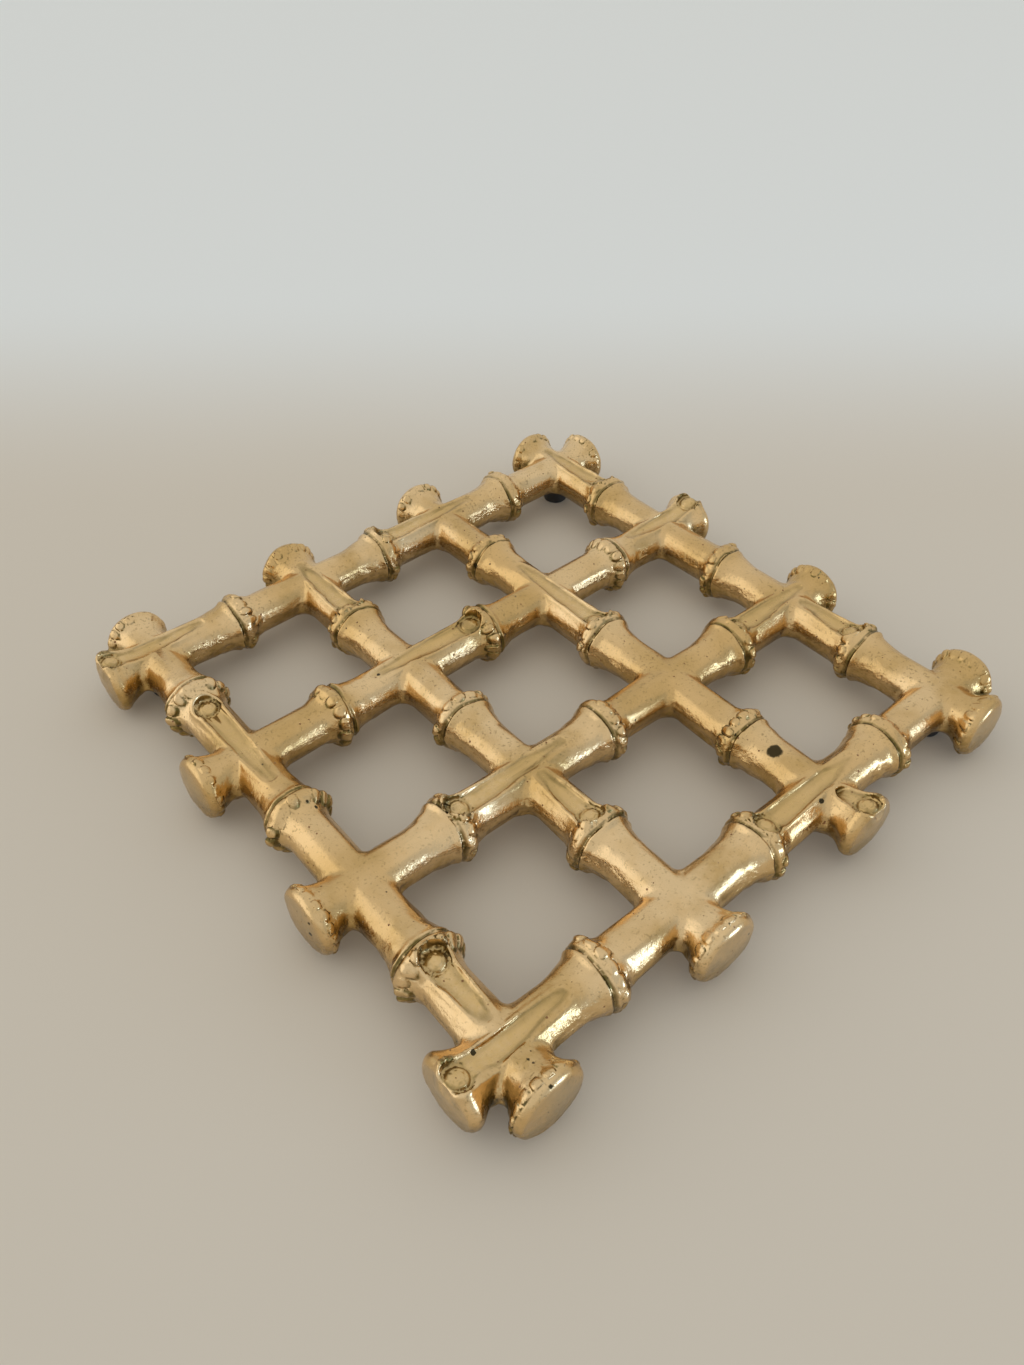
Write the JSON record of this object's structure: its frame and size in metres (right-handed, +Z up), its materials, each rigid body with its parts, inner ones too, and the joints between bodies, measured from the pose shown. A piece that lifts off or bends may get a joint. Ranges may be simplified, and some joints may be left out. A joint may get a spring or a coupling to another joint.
{
  "type": "lattice trivet",
  "caption": "Square cast brass trivet in the shape of crossed bamboo canes with open windows, standing on screwed black rubber feet.",
  "frame": {"origin": "middle of the square on the table plane that the feet stand on", "axes": "+Z up, +X and +Y along the two sets of canes"},
  "size_m": [0.1906, 0.1906, 0.0203],
  "materials": {
    "cast_brass": "polished casting with pits, and brown patina in its recesses",
    "black_rubber": "matt moulded rubber",
    "washer_steel": "zinc plated, dull",
    "screw_steel": "zinc plated, turned"
  },
  "bodies": {
    "root": {"lattice": "cast_brass", "foot_front_left": "black_rubber", "foot_front_right": "black_rubber", "foot_back_left": "black_rubber", "foot_back_right": "black_rubber", "washer_front_left": "washer_steel", "washer_front_right": "washer_steel", "washer_back_left": "washer_steel", "washer_back_right": "washer_steel", "screw_front_left": "screw_steel", "screw_front_right": "screw_steel", "screw_back_left": "screw_steel", "screw_back_right": "screw_steel"}
  },
  "joints": []
}
